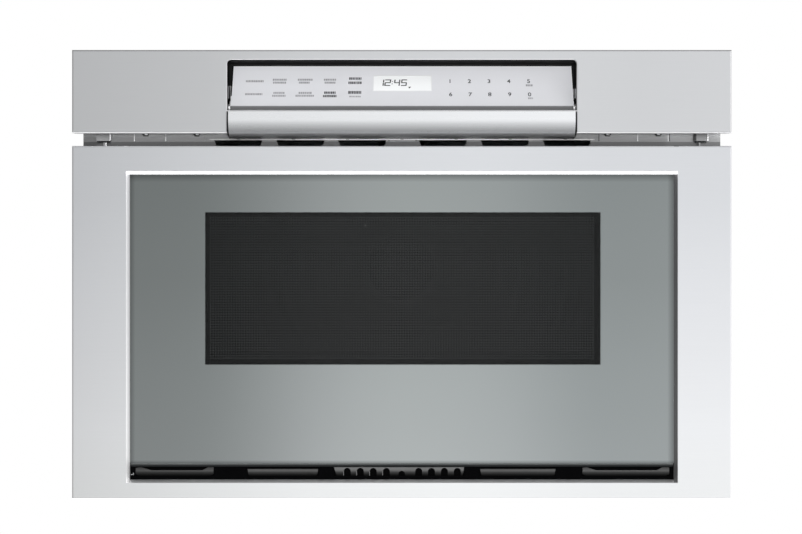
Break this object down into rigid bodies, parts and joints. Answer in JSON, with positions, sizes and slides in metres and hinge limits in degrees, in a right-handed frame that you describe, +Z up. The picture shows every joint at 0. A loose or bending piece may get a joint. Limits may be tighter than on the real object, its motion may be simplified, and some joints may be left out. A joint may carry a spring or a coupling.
{
  "type": "microwave drawer",
  "caption": "Built-in pull-out microwave drawer with stainless front, mirrored glass window, slanted key panel behind a rolling cover, slides, geared drive and cooking drawer.",
  "frame": {"origin": "centre of the four cabinet screw holes on the rear face of the mounting flange", "axes": "+X to the viewer's right, +Y back into the cabinet, +Z up; the front faces -Y"},
  "size_m": [0.6064, 0.6045, 0.413],
  "materials": {
    "stainless_front": "horizontally brushed stainless, fingerprint-resistant satin",
    "flange_steel": "grey powder coat, satin",
    "galvanised_steel": "galvanised sheet, faint spangle, satin",
    "cavity_enamel": "grey baked enamel, semi-gloss",
    "waveguide_steel": "plain sheet, satin",
    "mica_sheet": "mica board, matte",
    "motor_steel": "zinc-plated motor can, satin",
    "magnetron_metal": "plated yoke and fins, satin",
    "transformer_iron": "varnished laminations, semi-gloss",
    "capacitor_can": "drawn can, satin",
    "housing_plastic": "black moulded plastic, matte",
    "circuit_board": "green board with parts",
    "lamp_shell": "light grey, satin",
    "switch_plastic": "red moulded switch body",
    "switch_button": "off-white button",
    "slide_steel": "zinc-plated, satin",
    "key_panel": "silver-grey printed key panel, satin",
    "display_glass": "lit liquid-crystal window",
    "spacer_plastic": "grey moulded plastic, matte",
    "screw_steel": "nickel-plated screws",
    "mirror_glass": "grey-green half-mirrored glass, polished",
    "screen_steel": "black perforated screen, satin",
    "door_enamel": "black enamel, satin",
    "choke_plastic": "black moulded cover, matte",
    "clear_glass": "clear tempered glass",
    "pan_steel": "grey baked enamel, semi-gloss",
    "tray_ceramic": "dark ceramic sheet, semi-gloss",
    "gear_plastic": "natural acetal, satin",
    "grille_plastic": "black moulded plastic, matte",
    "insert_steel": "dark grey painted steel, satin",
    "cap_metal": "plated end cap, satin",
    "fan_plastic": "dark grey moulded fan"
  },
  "bodies": {
    "cabinet": {"front_flange": "flange_steel", "outer_case": "galvanised_steel", "base_plate": "galvanised_steel", "back_plate": "galvanised_steel", "cavity_wrapper": "cavity_enamel", "cavity_floor": "cavity_enamel", "cavity_back": "cavity_enamel", "waveguide": "waveguide_steel", "waveguide_cover": "mica_sheet", "stirrer_motor": "motor_steel", "magnetron": "magnetron_metal", "hv_transformer": "transformer_iron", "hv_capacitor": "capacitor_can", "fan_housing": "housing_plastic", "fan_motor": "motor_steel", "exhaust_grille": "flange_steel", "power_board": "circuit_board", "power_inlet": "housing_plastic", "cavity_lamp": "lamp_shell", "interlock_switches": "switch_plastic", "drive_bracket": "slide_steel", "drive_motor": "motor_steel", "slide_outer_members": "slide_steel", "slide_mounts": "slide_steel", "control_fascia": "stainless_front", "recess_housing": "housing_plastic", "face_carrier": "housing_plastic", "control_face": "key_panel", "display_window": "display_glass", "fascia_brackets": "flange_steel", "fascia_spacers": "spacer_plastic", "panel_screws": "screw_steel", "tilt_motor": "motor_steel"},
    "drawer": {"drawer_frame": "stainless_front", "front_glass": "mirror_glass", "window_screen": "screen_steel", "door_panel": "door_enamel", "door_choke": "door_enamel", "choke_cover": "choke_plastic", "inner_window": "clear_glass", "drawer_pan": "pan_steel", "ceramic_tray": "tray_ceramic", "door_channel": "slide_steel", "support_arms": "slide_steel", "slide_inner_members": "slide_steel", "drive_rack": "gear_plastic", "vent_grille": "grille_plastic", "grille_insert": "insert_steel", "latch_fingers": "gear_plastic"},
    "slide_middle_l": {"slide_middle_left": "slide_steel"},
    "slide_middle_r": {"slide_middle_right": "slide_steel"},
    "pinion": {"drive_pinion": "gear_plastic"},
    "cover": {"panel_cover": "stainless_front", "cover_end_caps": "cap_metal", "cover_gear": "gear_plastic"},
    "tilt_gear_shaft": {"tilt_gear": "gear_plastic"},
    "fan": {"cooling_fan": "fan_plastic"},
    "stirrer": {"stirrer_vane": "waveguide_steel"},
    "plunger_left": {"switch_plunger_left": "switch_button"},
    "plunger_right": {"switch_plunger_right": "switch_button"}
  },
  "joints": [
    {"name": "drawer_slide", "type": "slide", "parent": "cabinet", "child": "drawer", "axis": [0, -1, 0], "range_m": [0, 0.38]},
    {"name": "slide_left_extend", "type": "slide", "parent": "cabinet", "child": "slide_middle_l", "axis": [0, -1, 0], "range_m": [0, 0.19]},
    {"name": "slide_right_extend", "type": "slide", "parent": "cabinet", "child": "slide_middle_r", "axis": [0, -1, 0], "range_m": [0, 0.19]},
    {"name": "pinion_spin", "type": "hinge", "parent": "cabinet", "child": "pinion", "pos_m": [0, 0.03, -0.162], "axis": [1, 0, 0], "range_deg": [0, 1815]},
    {"name": "cover_hinge", "type": "hinge", "parent": "cabinet", "child": "cover", "pos_m": [0, -0.0155, 0.1565], "axis": [1, 0, 0], "range_deg": [-90, 0]},
    {"name": "tilt_gear_spin", "type": "hinge", "parent": "cabinet", "child": "tilt_gear_shaft", "pos_m": [-0.1745, -0.0155, 0.1755], "axis": [1, 0, 0], "range_deg": [0, 155]},
    {"name": "fan_spin", "type": "hinge", "parent": "cabinet", "child": "fan", "pos_m": [0.18, 0.525, -0.01], "axis": [0, 1, 0], "continuous": true},
    {"name": "stirrer_spin", "type": "hinge", "parent": "cabinet", "child": "stirrer", "pos_m": [0, 0.285, 0.1], "axis": [0, 0, 1], "continuous": true},
    {"name": "plunger_left_press", "type": "slide", "parent": "cabinet", "child": "plunger_left", "axis": [0, 1, 0], "range_m": [0, 0.0012], "stiffness_N_per_m": 300},
    {"name": "plunger_right_press", "type": "slide", "parent": "cabinet", "child": "plunger_right", "axis": [0, 1, 0], "range_m": [0, 0.0012], "stiffness_N_per_m": 300}
  ],
  "couplings": [
    {"joint": "slide_left_extend", "follows": "drawer_slide", "ratio": 0.5},
    {"joint": "slide_right_extend", "follows": "drawer_slide", "ratio": 0.5},
    {"joint": "pinion_spin", "follows": "drawer_slide", "rad_per_m": 83.333},
    {"joint": "tilt_gear_spin", "follows": "cover_hinge", "ratio": -1.7143}
  ]
}
